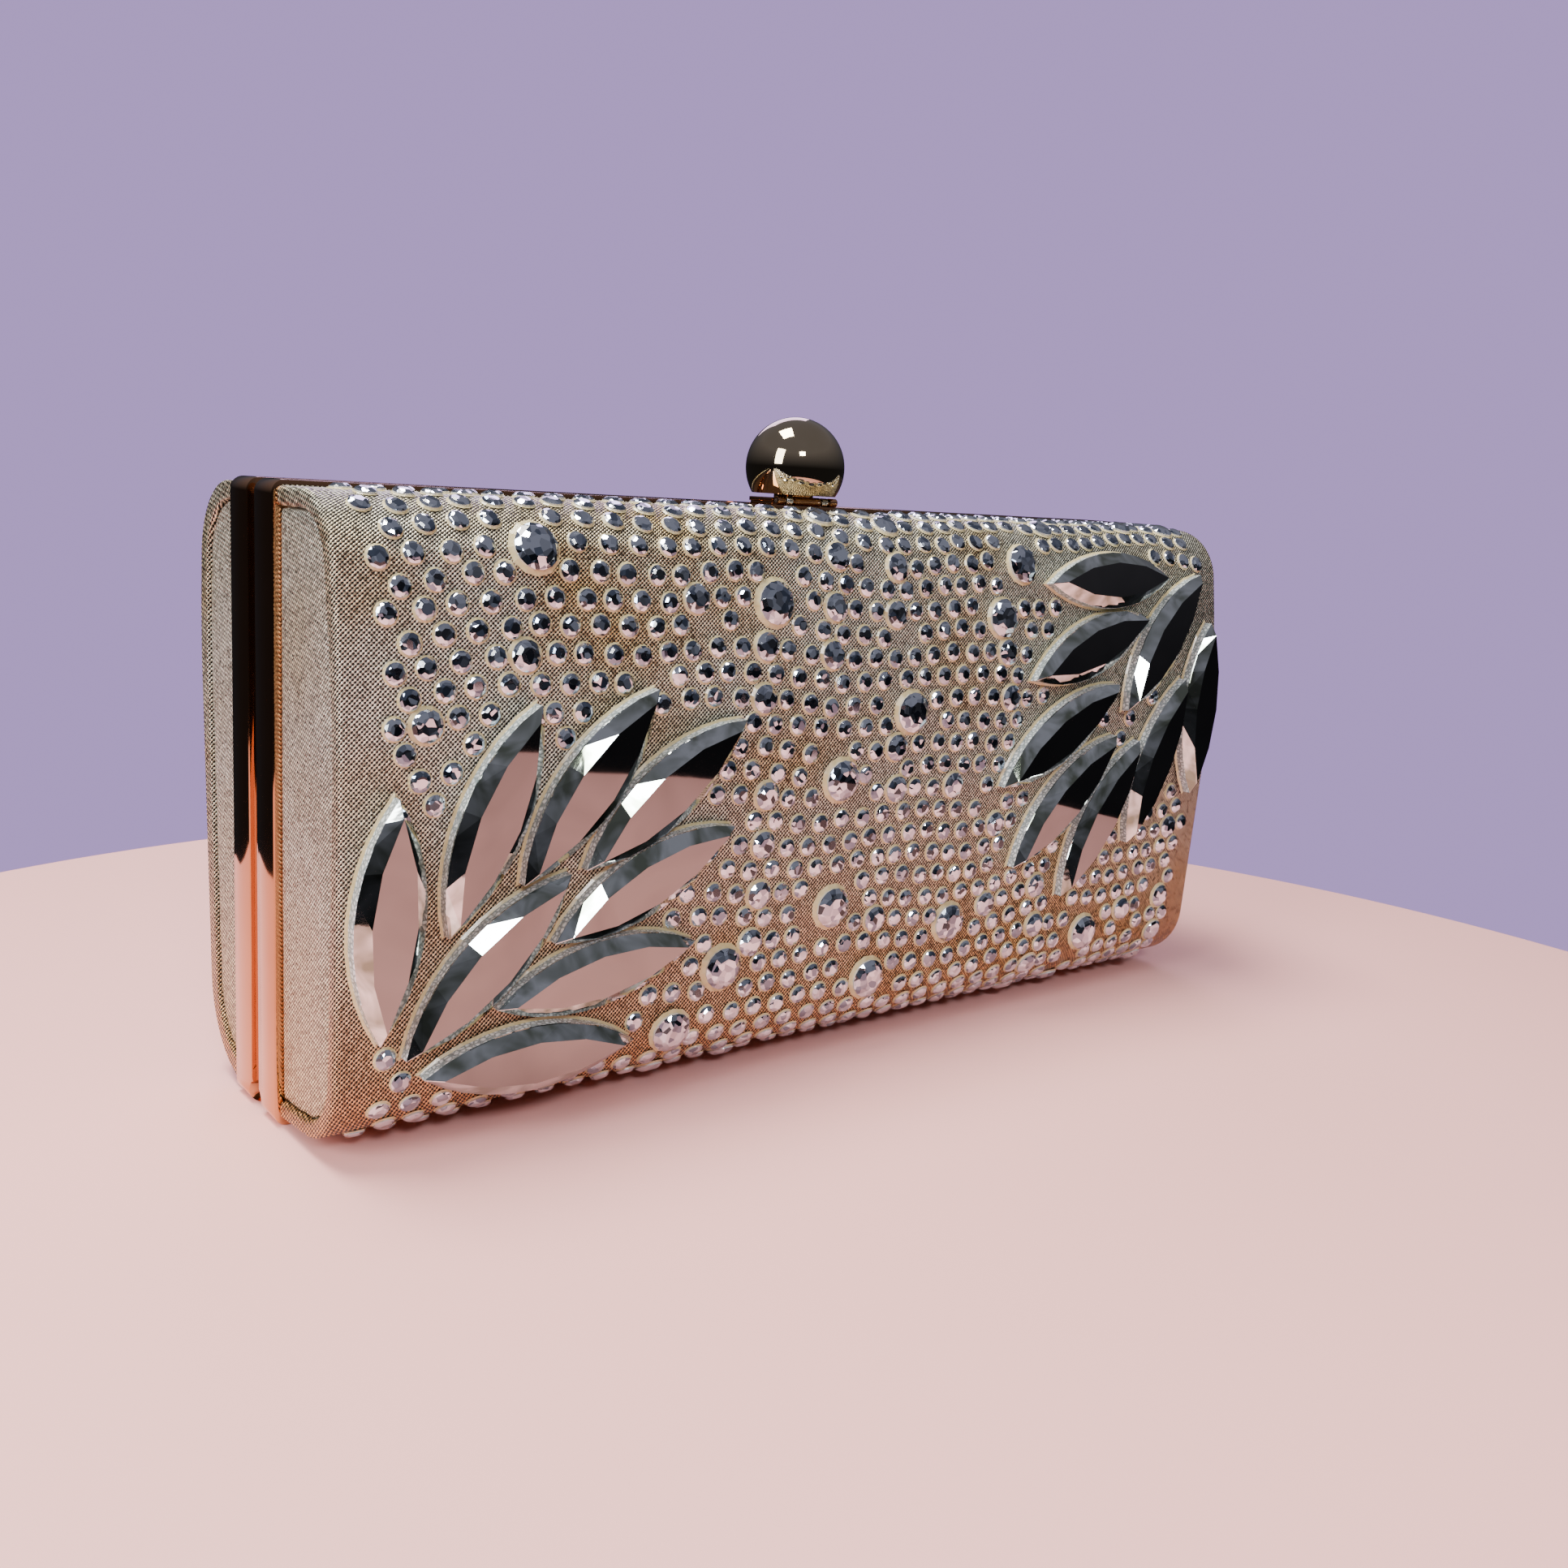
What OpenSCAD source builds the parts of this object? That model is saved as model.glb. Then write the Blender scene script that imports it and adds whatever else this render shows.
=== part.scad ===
// Hard-case evening clutch: two fabric-covered half shells in a hinged metal frame,
// with a ball clasp on top and flat-back crystals on the front.
// X runs along the bag, -Y is the front, Z is up. The origin is the centre of the bag's
// outline on the surface that it stands on.

/* [Frame] */
// Length of the metal frame
frame_l = 196; // [165:1:240]
// Height of the metal frame
frame_h = 97; // [80:1:125]
// Width of each half's band, from the parting plane
band_w = 8.3; // [7.6:0.1:12]
// Radius of the frame's outer corners
frame_corner_r = 2; // [1:0.1:4]
// Depth of the step along the parting line
groove_d = 0.8; // [0.3:0.1:1.2]
// Width of that step on each half
groove_w = 1.6; // [1:0.1:2.5]
// Gap between each half and the parting plane
parting_gap = 0.1; // [0.05:0.01:0.3]

/* [Case] */
// Depth of the front half, from the parting plane to the front fabric
front_depth = 31.1; // [24:0.1:42]
// Depth of the back half
back_depth = 24.4; // [20:0.1:36]
// Thickness of the moulded board
board_t = 1.8; // [1.2:0.1:2.4]
// Thickness of the outer fabric
fabric_t = 0.7; // [0.4:0.1:1]
// Thickness of the lining
lining_t = 0.5; // [0.3:0.1:0.8]
// Width of the rolled rim round each end panel
rim_w = 2.8; // [2:0.1:4]
// Thickness of the padded end panels
panel_t = 1.3; // [0.8:0.1:2]

/* [Hinge] */
// Outer radius of the hinge knuckles
knuckle_r = 1.65; // [1.4:0.05:1.9]
// Radius of the hinge pin
hinge_pin_r = 0.8; // [0.5:0.05:0.9]
// Length of the hinge
hinge_l = 172; // [100:1:220]
// Number of knuckles, shared between the two leaves
knuckles = 9; // [5:2:15]
// Radial clearance of a pin in its bore
pin_clearance = 0.05; // [0.02:0.01:0.09]

/* [Clasp] */
// Radius of the ball
ball_r = 9; // [6:0.1:11]
// Length of the clasp's plate
plate_l = 14; // [12:0.1:20]
// Thickness of the clasp's plate
plate_t = 0.7; // [0.5:0.05:1]
// Radius of the clasp's pin
clasp_pin_r = 0.4; // [0.3:0.05:0.45]
// Width of the hooked tongue
tongue_w = 9; // [5:0.1:10]

/* [Crystals] */
// Length of a long crystal
navette_l = 36.4; // [28:0.1:40]
// Width of a long crystal
navette_w = 11; // [8:0.1:12]
// Height of a long crystal's side
navette_side_h = 2; // [1:0.1:3]
// Height of a long crystal's cut top
navette_top_h = 1.6; // [1:0.1:2]
// Radius of a small round crystal
small_r = 1.6; // [1.3:0.05:1.8]
// Radius of a medium round crystal
medium_r = 2.4; // [2:0.05:2.7]
// Radius of a large round crystal
large_r = 3.6; // [3:0.05:4]
// Gap between small crystals in a row
stone_gap = 1.15; // [1:0.05:3]

/* [Hidden] */

GOLD = "goldenrod";
FABRIC = "wheat";
$fn = 48;
eps = 0.05;                                  // gap between pieces that are glued together

// ---- The bag's outline, with y counted outward from the parting plane ----
top_step = 0.8;                              // the frame stands this much above the fabric
end_step = 0.6;                              // and this much beyond it at each end
panel_inset = 0.5;                           // the end panels lie this far inside the rims
case_top = frame_h - top_step;               // top of the fabric
case_foot = 1.4;                             // underside of the fabric at the frame
heel_rise = 1.8;                             // how far the underside rises towards the face
leaf_w = 4.2;                                // reach of each hinge leaf
seat_y = leaf_w + 0.15;                      // the shell's edge stops just beyond the leaf
case_l = frame_l - 2 * end_step;             // over the rolled rims
board_l = case_l - 2 * (panel_t + panel_inset);  // over the end walls of the board
inner_l = board_l - 2 * board_t;
lining_l = inner_l - 2 * eps;

// Corners of each half's outline as [y, z], and the radius of each
waist_z = 0.67 * frame_h;                    // height where the case is deepest
back_waist_z = 0.74 * frame_h;
top_lean = [4.7, 1.6];                       // how far each half's face draws back by the top
foot_lean = [2.3, 3.4];                      // and by the foot, for the front and the back half
waist_r = 150;
front_corners = [[front_depth - top_lean[0], case_top], [front_depth, waist_z],
                 [front_depth - foot_lean[0], case_foot + heel_rise]];
front_radii = [11, waist_r, 12];
back_corners = [[back_depth - top_lean[1], case_top], [back_depth, back_waist_z],
                [back_depth - foot_lean[1], case_foot + heel_rise]];
back_radii = [13, waist_r, 15];

function unit(v) = v / norm(v);
function left_of(v) = [-v[1], v[0]];
function mid_slice(list, a, b) = [for (i = [a:b]) list[i]];

// Corners of an open path moved inward (to the right of travel) by d
function inset_path(p, d) = [for (i = [0:len(p) - 1])
    let (before = i > 0 ? left_of(unit(p[i] - p[i - 1])) : undef,
         after = i < len(p) - 1 ? left_of(unit(p[i + 1] - p[i])) : undef,
         a = is_undef(before) ? after : before,
         b = is_undef(after) ? before : after)
    p[i] - d * (a + b) / (1 + a * b)];

function half_angle(a, p, b) = acos(max(-1, min(1, unit(a - p) * unit(b - p)))) / 2;

// The largest radius, up to r, that fits at corner i of path p; an end segment has one arc only
function fit_radius(p, i, r) =
    let (before = (i == 1 ? 0.95 : 0.48) * norm(p[i - 1] - p[i]),
         after = (i == len(p) - 2 ? 0.95 : 0.48) * norm(p[i + 1] - p[i]))
    min(r, min(before, after) * tan(half_angle(p[i - 1], p[i], p[i + 1])));

// An arc of radius r that rounds corner p between a and b
function fillet(a, p, b, r) =
    let (u = unit(a - p), v = unit(b - p),
         half = half_angle(a, p, b),
         cut = r / tan(half),
         c = p + unit(u + v) * r / sin(half),
         s = p + u * cut - c, e = p + v * cut - c,
         turn = acos(max(-1, min(1, (s * e) / (r * r)))),
         way = s[0] * e[1] - s[1] * e[0] < 0 ? -1 : 1,
         n = max(4, ceil(turn / 6)))
    r <= 0 ? [p] : [for (i = [0:n])
        let (t = way * turn * i / n)
        c + [s[0] * cos(t) - s[1] * sin(t), s[0] * sin(t) + s[1] * cos(t)]];

function rounded_path(p, radii) = [for (i = [0:len(p) - 1])
    each (i == 0 || i == len(p) - 1) ? [p[i]]
        : fillet(p[i - 1], p[i], p[i + 1], radii[i - 1])];

// The radii that fit a half's corners; every inset outline is rounded about the same centres
function half_radii(corners, radii) =
    let (full = concat([[band_w, case_top]], corners, [[band_w, case_foot]]))
    [for (i = [0:len(radii) - 1]) fit_radius(full, i + 1, radii[i])];

// Moves the last point of path p along its segment to y = y0
function ended_at(p, y0) =
    let (n = len(p) - 1, t = (y0 - p[n][0]) / (p[n - 1][0] - p[n][0]))
    [for (i = [0:n]) i < n ? p[i] : p[n] + t * (p[n - 1] - p[n])];

// One half's outline, d mm inside the fabric, from y0 over the top and back under
function half_path(corners, radii, y0, d) =
    let (end = y0 < band_w ? [[band_w, case_foot], [y0, case_foot]] : [[y0, case_foot]],
         full = concat([[y0, case_top]], corners, end),
         fitted = concat(half_radii(corners, radii), [0]))
    rounded_path(ended_at(inset_path(full, d), y0), [for (r = fitted) max(r - d, 0)]);

function front_path(y0, d) = half_path(front_corners, front_radii, y0, d);
function back_path(y0, d) = half_path(back_corners, back_radii, y0, d);

curve_lift = 0.2;                            // more, as their flat backs bridge the curve
stand_out = navette_side_h + navette_top_h + curve_lift;   // how far long crystals stand out
front_reach = max([for (p = front_path(band_w, 0)) p[0]]) + stand_out;
back_reach = max([for (p = back_path(band_w, 0)) p[0]]);
seam_y = (front_reach - back_reach) / 2;            // the parting plane in the bag's frame

// ---- Shared shapes ----
// Places a half's own geometry: the front half is drawn with y outward, then mirrored
module on_front() translate([0, seam_y, 0]) mirror([0, 1, 0]) children();
module on_back() translate([0, seam_y, 0]) children();
module on_seam() translate([0, seam_y, 0]) children();

// A (y, z) outline made a solid of length l along X, centred on x = 0
module along_x(l) rotate([90, 0, 90]) translate([0, 0, -l / 2]) linear_extrude(l) children();

module rod_x(r, l) rotate([0, 90, 0]) cylinder(r = r, h = l, center = true);

module box(x, y, z) translate([x[0], y[0], z[0]])
    cube([x[1] - x[0], y[1] - y[0], z[1] - z[0]]);

// A rounded rectangle in X and Z, from y0 to y1
module ring_block(l, z, r, y) translate([0, y[1], 0]) rotate([90, 0, 0])
    linear_extrude(y[1] - y[0]) union() {
        translate([-l / 2, z[0] + r]) square([l, z[1] - z[0] - 2 * r]);
        translate([-l / 2 + r, z[0]]) square([l - 2 * r, z[1] - z[0]]);
        for (x = [-1, 1], c = [z[0] + r, z[1] - r])
            translate([x * (l / 2 - r), c]) circle(r);
    }

// ---- Frame ----
hinge_z = knuckle_r + eps;
relief_r = 2.6;                              // room for the knuckles to turn
rail_cut = 2;                                // rail held back from the parting plane
flange_foot = case_foot + fabric_t + board_t + eps;
flange_top = case_top - fabric_t - board_t - eps;
rivet_r = 0.6;
rivet_head_r = 1;
leaf_t = 0.7;
leaf_rivet_y = 2.9;
leaf_rivets = [for (k = [-1.5:1:1.5]) k * hinge_l / 4];

// One half of the frame: an outer band with an inward flange at the parting line.
// The shell's edge sits in the recess behind the flange.
module half_frame() difference() {
    union() {
        ring_block(frame_l, [0, frame_h], frame_corner_r, [groove_w, band_w]);
        ring_block(frame_l - 2 * groove_d, [groove_d, frame_h - groove_d],
                   frame_corner_r - 0.4, [parting_gap, groove_w]);
    }
    box([-inner_l, inner_l] / 2, [-1, band_w + 1], [flange_foot, flange_top]);
    box([-board_l - 2 * eps, board_l + 2 * eps] / 2, [seat_y - eps, band_w + 1],
        [case_foot + fabric_t, case_top - fabric_t]);
    translate([0, 0, hinge_z]) rod_x(relief_r, frame_l + 10);
    box([-inner_l, inner_l] / 2, [-1, rail_cut], [-1, flange_foot + 1]);
    for (x = leaf_rivets) translate([x, leaf_rivet_y, -1])
        cylinder(r = rivet_r + 0.02, h = flange_foot + 2);
}

module front_frame() color(GOLD) on_front() difference() {
    half_frame();
    for (x = clasp_rivet_x) translate([x, clasp_rivet_y, flange_top - 1])
        cylinder(r = rivet_r + 0.02, h = frame_h);
}

module back_frame() color(GOLD) on_back() difference() {
    half_frame();
    box([-1, 1] * (tongue_w / 2 + 0.5), [groove_w, lip_y[1] + 0.5],
        [frame_h - lip_drop - 0.9, frame_h + 1]);
    for (x = lug_x) translate([x, 0, 0])
        box([-1, 1] * (lug_w / 2 + eps), [lug_y[0] - eps, lug_y[1] + eps],
            [flange_top - 1, flange_top + 1]);
}

// ---- Case halves ----
module front_outline(y0, d) polygon(front_path(y0, d));
module back_outline(y0, d) polygon(back_path(y0, d));

board_d = fabric_t + eps;                    // depth of the board under the fabric
hollow_d = board_d + board_t;
lining_d = hollow_d + eps;

module front_shell() color("burlywood") on_front() difference() {
    along_x(board_l) front_outline(seat_y, board_d);
    along_x(inner_l) front_outline(seat_y - 1, hollow_d);
}

module back_shell() color("burlywood") on_back() difference() {
    along_x(board_l) back_outline(seat_y, board_d);
    along_x(inner_l) back_outline(seat_y - 1, hollow_d);
}

// Outer fabric: a skin over the face, top and underside, with a rolled rim at each end
module front_cover() color(FABRIC) on_front() difference() {
    along_x(case_l) front_outline(band_w + eps, 0);
    along_x(board_l + 2 * eps) front_outline(band_w - 1, fabric_t);
    along_x(case_l + 2) front_outline(band_w - 1, rim_w);
}

module back_cover() color(FABRIC) on_back() difference() {
    along_x(case_l) back_outline(band_w + eps, 0);
    along_x(board_l + 2 * eps) back_outline(band_w - 1, fabric_t);
    along_x(case_l + 2) back_outline(band_w - 1, rim_w);
}

// Padded panel glued on an end wall, inside the rolled rim
panel_x = board_l / 2 + eps + panel_t / 2;
module front_end_panel(side) color(FABRIC) on_front() translate([side * panel_x, 0, 0])
    along_x(panel_t) front_outline(band_w + eps, rim_w + eps);
module back_end_panel(side) color(FABRIC) on_back() translate([side * panel_x, 0, 0])
    along_x(panel_t) back_outline(band_w + eps, rim_w + eps);

lining_y = seat_y + 0.15;
module front_lining() color("darkgoldenrod") on_front() difference() {
    along_x(lining_l) front_outline(lining_y, lining_d);
    along_x(lining_l - 2 * lining_t) front_outline(lining_y - 1, lining_d + lining_t);
}

module back_lining() color("darkgoldenrod") on_back() difference() {
    along_x(lining_l) back_outline(lining_y, lining_d);
    along_x(lining_l - 2 * lining_t) back_outline(lining_y - 1, lining_d + lining_t);
}

// ---- Hinge ----
knuckle_l = hinge_l / knuckles;
function knuckle_x(i) = -hinge_l / 2 + knuckle_l * (i + 0.5);

// A leaf on top of the frame's bottom flange, with every second knuckle
module hinge_leaf(first) difference() {
    union() {
        box([-hinge_l, hinge_l] / 2, [0.9, leaf_w],
            [flange_foot + eps, flange_foot + eps + leaf_t]);
        for (i = [first:2:knuckles - 1]) translate([knuckle_x(i), 0, 0]) {
            translate([0, 0, hinge_z]) rod_x(knuckle_r, knuckle_l - 0.2);
            box([-1, 1] * (knuckle_l - 0.2) / 2, [0.9, knuckle_r],
                [hinge_z, flange_foot + eps + leaf_t]);
        }
    }
    translate([0, 0, hinge_z]) rod_x(hinge_pin_r + pin_clearance, hinge_l + 2);
    for (x = leaf_rivets) translate([x, leaf_rivet_y, 0])
        cylinder(r = rivet_r + 0.02, h = frame_h / 2);
}
module front_hinge_leaf() color("tan") on_front() hinge_leaf(1);
module back_hinge_leaf() color("tan") on_back() hinge_leaf(0);

module leaf_rivet_set() for (x = leaf_rivets)
    translate([x, leaf_rivet_y, flange_foot + eps + leaf_t + 0.02]) {
        cylinder(r1 = rivet_head_r, r2 = rivet_r, h = 0.4);
        translate([0, 0, 0.1 - flange_foot - leaf_t]) cylinder(r = rivet_r, h = flange_foot + leaf_t);
    }
module front_hinge_rivets() color("gold") on_front() leaf_rivet_set();
module back_hinge_rivets() color("gold") on_back() leaf_rivet_set();

module hinge_pin() color("silver") on_seam() translate([0, 0, hinge_z])
    rod_x(hinge_pin_r, hinge_l - 0.4);

// ---- Lugs for a carrying chain, inside the back half ----
lug_w = 6;
lug_t = 1.2;
lug_y = [2.2, 2.2 + lug_t];
lug_hole_r = 1.6;
lug_drop = 4.4;                              // from the flange to the hole
lug_x = [-1, 1] * (inner_l / 2 - 8);
module chain_lugs() color(GOLD) on_back() for (x = lug_x)
    translate([x, lug_y[1], flange_top - lug_drop]) rotate([90, 0, 0]) difference() {
        union() {
            cylinder(r = lug_w / 2, h = lug_t);
            translate([-lug_w / 2, 0, 0]) cube([lug_w, lug_drop + 0.9, lug_t]);
        }
        translate([0, 0, -1]) cylinder(r = lug_hole_r, h = lug_t + 2);
    }

// ---- Clasp: a sprung plate on the front half that hooks over the back half ----
floor_t = 0.4;
clasp_knuckle_r = 0.8;
clasp_y = band_w - 0.95;                     // the clasp's axis
clasp_z = frame_h + clasp_knuckle_r;
plate_y = clasp_y - 0.95;                    // front edge of the wide part of the plate
plate_z = frame_h + floor_t + 0.1;
plate_top = plate_z + plate_t;
lever_knuckle_l = 6;
ear_l = 1.8;
spring_l = (plate_l - 2 * ear_l - lever_knuckle_l) / 2;
tongue_y = 3.2;                              // how far the tongue reaches over the back half
lip_y = [2.3, tongue_y];
lip_drop = 1.7;                              // how far the lip dips into the back half's slot
clasp_rivet_x = [-1, 1] * (plate_l / 2 - 1.6);
clasp_rivet_y = 3;
ball_y = 3.7;
ball_flat = 4.8;                             // from the ball's centre to its flat underside
seat_h = 0.7;                                // raised seat under the ball
ball_z = plate_top + seat_h + ball_flat;
stud_r = 1.5;

module catch_plate() color(GOLD) on_back()
    box([-1, 1] * (tongue_w / 2 + 1.5), [0.2, groove_w - 0.05],
        [frame_h - groove_d + 0.02, frame_h - groove_d + 0.6]);

module clasp_bracket() color(GOLD) on_front() difference() {
    union() {
        box([-1, 1] * plate_l / 2, [0.6, plate_y - 0.1], [frame_h + 0.02, frame_h + floor_t]);
        for (s = [-1, 1]) translate([s * (plate_l - ear_l) / 2, 0, 0]) {
            translate([0, clasp_y, clasp_z]) rod_x(clasp_knuckle_r - 0.02, ear_l - 0.1);
            box([-1, 1] * (ear_l - 0.1) / 2, [plate_y - 0.2, clasp_y],
                [frame_h + 0.02, frame_h + floor_t]);
        }
    }
    translate([0, clasp_y, clasp_z]) rod_x(clasp_pin_r + pin_clearance, plate_l + 2);
    for (x = clasp_rivet_x) translate([x, clasp_rivet_y, frame_h - 1])
        cylinder(r = rivet_r + 0.02, h = 3);
}

module clasp_rivets() color("gold") on_front() for (x = clasp_rivet_x)
    translate([x, clasp_rivet_y, flange_top + 0.4])
        cylinder(r = rivet_r, h = frame_h + floor_t - flange_top - 0.42);

module clasp_pin() color("silver") on_front() translate([0, clasp_y, clasp_z])
    rod_x(clasp_pin_r, plate_l - 0.1);

module clasp_lever() color(GOLD) on_front() difference() {
    union() {
        box([-1, 1] * plate_l / 2, [-0.4, plate_y - 0.1], [plate_z, plate_top]);
        box([-1, 1] * lever_knuckle_l / 2, [plate_y - 0.2, clasp_y], [plate_z, plate_top]);
        translate([0, clasp_y, clasp_z]) rod_x(clasp_knuckle_r - 0.02, lever_knuckle_l);
        box([-1, 1] * tongue_w / 2, [-tongue_y, 0], [plate_z, plate_top]);
        box([-1, 1] * tongue_w / 2, [-lip_y[1], -lip_y[0]], [frame_h - lip_drop, plate_top]);
        translate([0, ball_y, plate_top - 0.1]) cylinder(r = 3.6, h = seat_h + 0.1 - 0.02);
    }
    translate([0, clasp_y, clasp_z]) rod_x(clasp_pin_r + pin_clearance, plate_l);
    translate([0, ball_y, frame_h]) cylinder(r = stud_r + 0.02, h = 5);
}

// Coils round the clasp's pin, on both sides of the lever's knuckle
wire_r = 0.15;
coils = 5;
module clasp_spring() color("silver") on_front() for (s = [-1, 1])
    translate([s * (lever_knuckle_l + spring_l) / 2, clasp_y, clasp_z])
        rotate([0, 90, 0]) rotate_extrude() translate([clasp_pin_r + 0.22, 0])
            for (i = [0:coils - 1]) translate([0, (i - (coils - 1) / 2) * 1.8 * wire_r])
                circle(wire_r, $fn = 16);

module ball_stud() color(GOLD) on_front() translate([0, ball_y, plate_z + 0.05])
    cylinder(r = stud_r, h = plate_t + seat_h + 2.5);

module ball_knob() color(GOLD) on_front() translate([0, ball_y, ball_z]) difference() {
    sphere(ball_r, $fn = 96);
    translate([0, 0, -ball_r - ball_flat]) cube(2 * ball_r, center = true);
    translate([0, 0, -ball_flat - 1]) cylinder(r = stud_r + 0.02, h = 4);
}

// ---- Crystals ----
// The face that they lie on, as distance s down from the frame's top edge
face = front_path(band_w, 0);
face_s = [for (i = 0, s = 0; i < len(face); s = s + (i < len(face) - 1
    ? norm(face[i + 1] - face[i]) : 0), i = i + 1) s];
y_at_s = [for (i = [0:len(face) - 1]) [face_s[i], face[i][0]]];
z_at_s = [for (i = [0:len(face) - 1]) [face_s[i], face[i][1]]];
drop = [for (i = [2:len(face) - 3]) i];      // the part of the face where z falls all the way
s_at_z = [for (k = [len(drop) - 1:-1:0]) [face[drop[k]][1], face_s[drop[k]]]];
face_len = face_s[len(face) - 1];

function face_y(s) = lookup(s, y_at_s);
function face_z(s) = lookup(s, z_at_s);
function face_lean(s) = atan2(face_z(s - 1) - face_z(s + 1), face_y(s + 1) - face_y(s - 1));
function s_of(z) = lookup(z, s_at_z);

// Puts a crystal, drawn on its flat back with its top along Z, on the face at x and s
module on_face(x, s, turn = 0, lift = 0.02) on_seam() translate([x, -face_y(s), face_z(s)])
    rotate([face_lean(s), 0, 0]) translate([0, 0, lift]) rotate([0, 0, turn]) children();

// Long crystals in two sprays that nearly mirror each other through the face's centre. Each
// place is [distance from the end, distance from the foot or the top, angle], for crystals of
// the usual size; bigger crystals open the spray out from its corner
usual_navette = [36.4, 11];                  // the length and width that the places are set for
spread = max(navette_l / usual_navette[0], navette_w / usual_navette[1]);
lower_places = [[7, 36, 87], [22.6, 49.4, 68], [38.7, 53.4, 52], [52.6, 51.2, 37],
                [22.8, 27.6, 44], [49.8, 37, 25], [42, 23.2, 9], [30.8, 11.5, -1]];
upper_places = [[36.2, 10.4, 2], [42, 23.2, 19], [20, 22.4, 49], [50, 39.6, 31],
                [47, 52.9, 43], [35.6, 57.5, 59], [19.9, 46.8, 70], [6.8, 36.6, 86]];
lower_spray = [for (p = lower_places)
    [spread * p[0] - case_l / 2, case_foot + spread * p[1], p[2]]];
upper_spray = [for (p = upper_places)
    [case_l / 2 - spread * p[0], case_top - spread * p[1], p[2]]];

// Outline of a long crystal, pointed at both ends
function navette_points(l, w, n = 12) =
    let (r = (l * l / 4 + w * w / 4) / w, a = asin(l / 2 / r))
    [for (side = [0, 180], i = [0:n - 1]) let (t = a - 2 * a * i / n, h = r * cos(t) - r + w / 2)
        side == 0 ? [r * sin(t), h] : [-r * sin(t), -h]];

navette_table = [0.84, 0.5];                 // the flat top's share of the length and width
module navette() {
    linear_extrude(navette_side_h) polygon(navette_points(navette_l, navette_w));
    translate([0, 0, navette_side_h - 0.01])
        linear_extrude(navette_top_h, scale = navette_table, slices = 1)
            polygon(navette_points(navette_l, navette_w));
}
module spray(places) for (p = places) on_face(p[0], s_of(p[1]), p[2]) navette();
module lower_navettes() color("lightgray") spray(lower_spray);
module upper_navettes() color("lightgray") spray(upper_spray);

// A round flat-back crystal; its flat top and its height are shares of its radius
round_table = 0.6;
round_height = 0.72;
module brilliant(r) cylinder(r1 = r, r2 = round_table * r, h = round_height * r);

// Large crystals, as [x from the middle or from the nearer end, z from the foot or the top]
large_by_left_end = [[66.9, 19.6], [57.4, 10.1]];
large_by_right_end = [[34.4, 12.4]];
large_by_left_top = [[30.7, 6.8]];
large_by_right_top = [[60.8, 7.6], [66.4, 17.4]];
large_by_foot = [[-7.6, 50], [-7.2, 27.1], [22.7, 20.1], [3, 12.3]];
large_by_top = [[-22.9, 14.6], [8, 33.7]];
large_list = concat(
    [for (p = large_by_left_end) [p[0] - case_l / 2, s_of(case_foot + p[1])]],
    [for (p = large_by_right_end) [case_l / 2 - p[0], s_of(case_foot + p[1])]],
    [for (p = large_by_left_top) [p[0] - case_l / 2, s_of(case_top - p[1])]],
    [for (p = large_by_right_top) [case_l / 2 - p[0], s_of(case_top - p[1])]],
    [for (p = large_by_foot) [p[0], s_of(case_foot + p[1])]],
    [for (p = large_by_top) [p[0], s_of(case_top - p[1])]]);

// Rows of stones down the face; the rows stand a little apart, with an offset every second row
stone_pitch = 2 * small_r + stone_gap;
row_pitch = 0.93 * stone_pitch;
first_row = 5.5;
last_row = 13;                               // stops short of the frame underneath
rows = floor((face_len - last_row - first_row) / row_pitch);
half_run = case_l / 2 - 6;
cols = floor(2 * half_run / stone_pitch);
loosening = 0.11 / cols;                     // the spacing widens steadily towards the left end
wander = 0.28 * stone_gap;                   // how far a stone strays from its place in the row
wobble = rands(-wander, wander, 2 * (rows + 1) * (cols + 1), 7);
pick = rands(0, 1, (rows + 1) * (cols + 1), 11);
function cell(r, c) = r * (cols + 1) + c;
function stone_place(r, c) =
    let (k = c + (r % 2) / 2,
         x = half_run - stone_pitch * k * (1 + loosening * k),
         s = first_row + r * row_pitch)
    [x + 0.9 * sin(7 * s + 2 * x) + wobble[2 * cell(r, c)],
     s + 1.2 * sin(2.9 * x + 40) + 0.7 * sin(7.7 * x + 3 * s) + wobble[2 * cell(r, c) + 1]];

// Is a stone of radius r at [x, s] clear of a long crystal?
function clear_of(p, q, r) =
    let (d = [p[0] - q[0], s_of(q[1]) - p[1]],
         a = abs(d[0] * cos(q[2]) + d[1] * sin(q[2])),
         b = abs(-d[0] * sin(q[2]) + d[1] * cos(q[2])),
         big = (navette_l * navette_l / 4 + navette_w * navette_w / 4) / navette_w)
    a > navette_l / 2 ? norm([a - navette_l / 2, b]) > r + 0.3
        : norm([a, b + big - navette_w / 2]) > big + r + 0.3;
all_navettes = concat(lower_spray, upper_spray);
function clear_of_navettes(p, r) = min([for (q = all_navettes) clear_of(p, q, r) ? 1 : 0]) == 1;
function clear_of_stones(p, list, r, gap = 0.12) =
    len(list) == 0 || min([for (q = list) norm(p - q)]) > r + gap;
function clear_of_clasp(p, r) = p[1] > 9 || abs(p[0]) > plate_l / 2 + 4;
function on_case(p, r) = abs(p[0]) < half_run + 0.6 && clear_of_clasp(p, r);

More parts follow.
